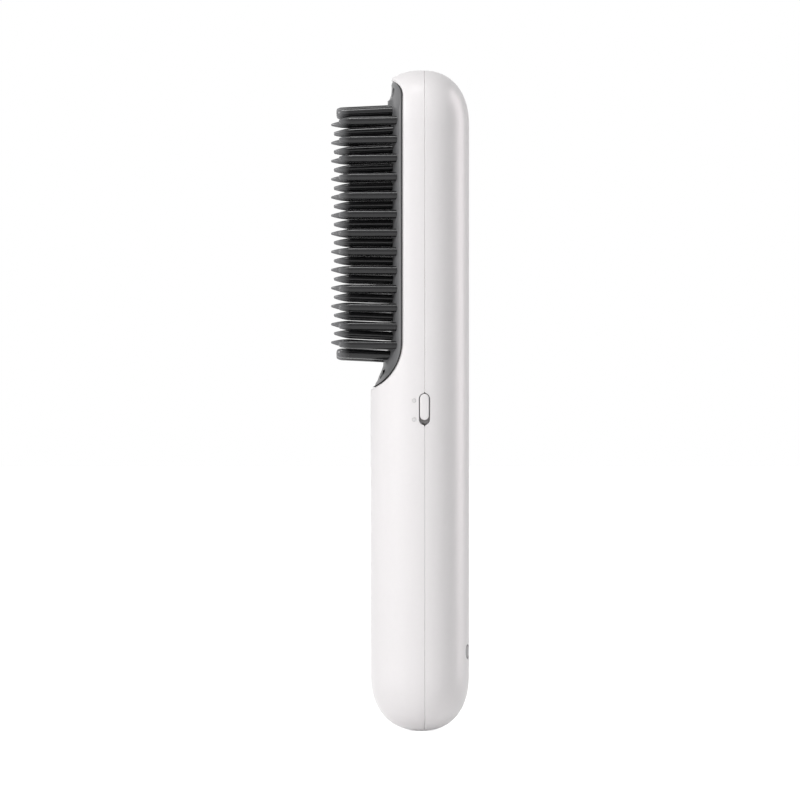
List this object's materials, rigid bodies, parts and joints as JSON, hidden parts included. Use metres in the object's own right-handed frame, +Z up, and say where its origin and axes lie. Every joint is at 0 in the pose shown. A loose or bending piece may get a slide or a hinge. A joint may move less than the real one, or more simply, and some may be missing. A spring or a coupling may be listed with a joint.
{
  "type": "hair straightening brush",
  "caption": "Cordless heated hair straightening brush: a white oval case with a convex comb of heated and guard teeth, a slide switch and a charging port.",
  "frame": {"origin": "the middle, in X and Y, of the box that the brush fills, at the lowest point of the handle", "axes": "+Z up along the handle towards the head; -X the way the teeth point; -Y the side with the slide switch"},
  "size_m": [0.044, 0.0363, 0.21],
  "materials": {
    "case_white": "white moulded case with a faint pink cast, satin gloss",
    "cover_grey": "dark grey moulded cover, satin",
    "tooth_black": "black heat-resistant teeth, glossy",
    "screw_dark": "blackened steel",
    "screw_steel": "zinc-plated steel",
    "heater_aluminium": "die-cast aluminium",
    "ceramic_white": null,
    "spring_steel": "bare stainless spring steel",
    "shield_cream": "mica-filled insulating board",
    "fuse_sleeve": "glazed sleeve",
    "sensor_bead": "lacquered bead",
    "lead_red": "silicone insulation",
    "lead_blue": "silicone insulation",
    "slider_white": "white moulded knob, satin gloss",
    "switch_black": "black nylon",
    "light_pipe": "milky clear acrylic",
    "led_resin": "clear resin over phosphor",
    "board_green": "glass-epoxy circuit board, green",
    "chip_black": "epoxy",
    "can_aluminium": "bare can",
    "frame_grey": "natural moulded plastic",
    "cell_wrap": "shrink wrap",
    "nickel": "nickel strip",
    "foam_black": "closed-cell foam",
    "port_steel": "stainless shell",
    "tongue_black": "black moulded tongue",
    "bezel_grey": "grey moulded ring"
  },
  "bodies": {
    "case": {"front_shell": "case_white", "rear_shell": "case_white", "comb_cover": "cover_grey", "cover_screws": "screw_dark", "shell_screws": "screw_steel", "guard_teeth_near": "tooth_black", "guard_teeth_far": "tooth_black", "middle_teeth": "tooth_black", "side_teeth_near": "tooth_black", "side_teeth_far": "tooth_black", "end_teeth_top": "tooth_black", "end_teeth_bottom": "tooth_black", "heater_plate": "heater_aluminium", "ceramic_heater": "ceramic_white", "heater_clamp": "spring_steel", "clamp_screws": "screw_steel", "heat_shield": "shield_cream", "shield_screws": "screw_steel", "thermal_fuse": "fuse_sleeve", "temperature_sensor": "sensor_bead", "heater_leads": "lead_red", "switch_body": "spring_steel", "indicator_pipes": "light_pipe", "indicator_leds": "led_resin", "main_board": "board_green", "board_screws": "screw_steel", "control_chip": "chip_black", "power_transistors": "chip_black", "capacitors": "can_aluminium", "inner_frame": "frame_grey", "frame_screws": "screw_steel", "battery_cell": "cell_wrap", "battery_tabs": "nickel", "battery_pads": "foam_black", "battery_leads": "lead_red", "charge_board": "board_green", "charge_board_screws": "screw_steel", "charge_chip": "chip_black", "charge_leads": "lead_blue", "usb_shell": "port_steel", "usb_tongue": "tongue_black", "port_bezel": "bezel_grey"},
    "slider": {"power_slider": "slider_white", "switch_lever": "switch_black"}
  },
  "joints": [
    {"name": "power_slide", "type": "slide", "parent": "case", "child": "slider", "axis": [0, 0, -1], "range_m": [0, 0.0014]}
  ]
}
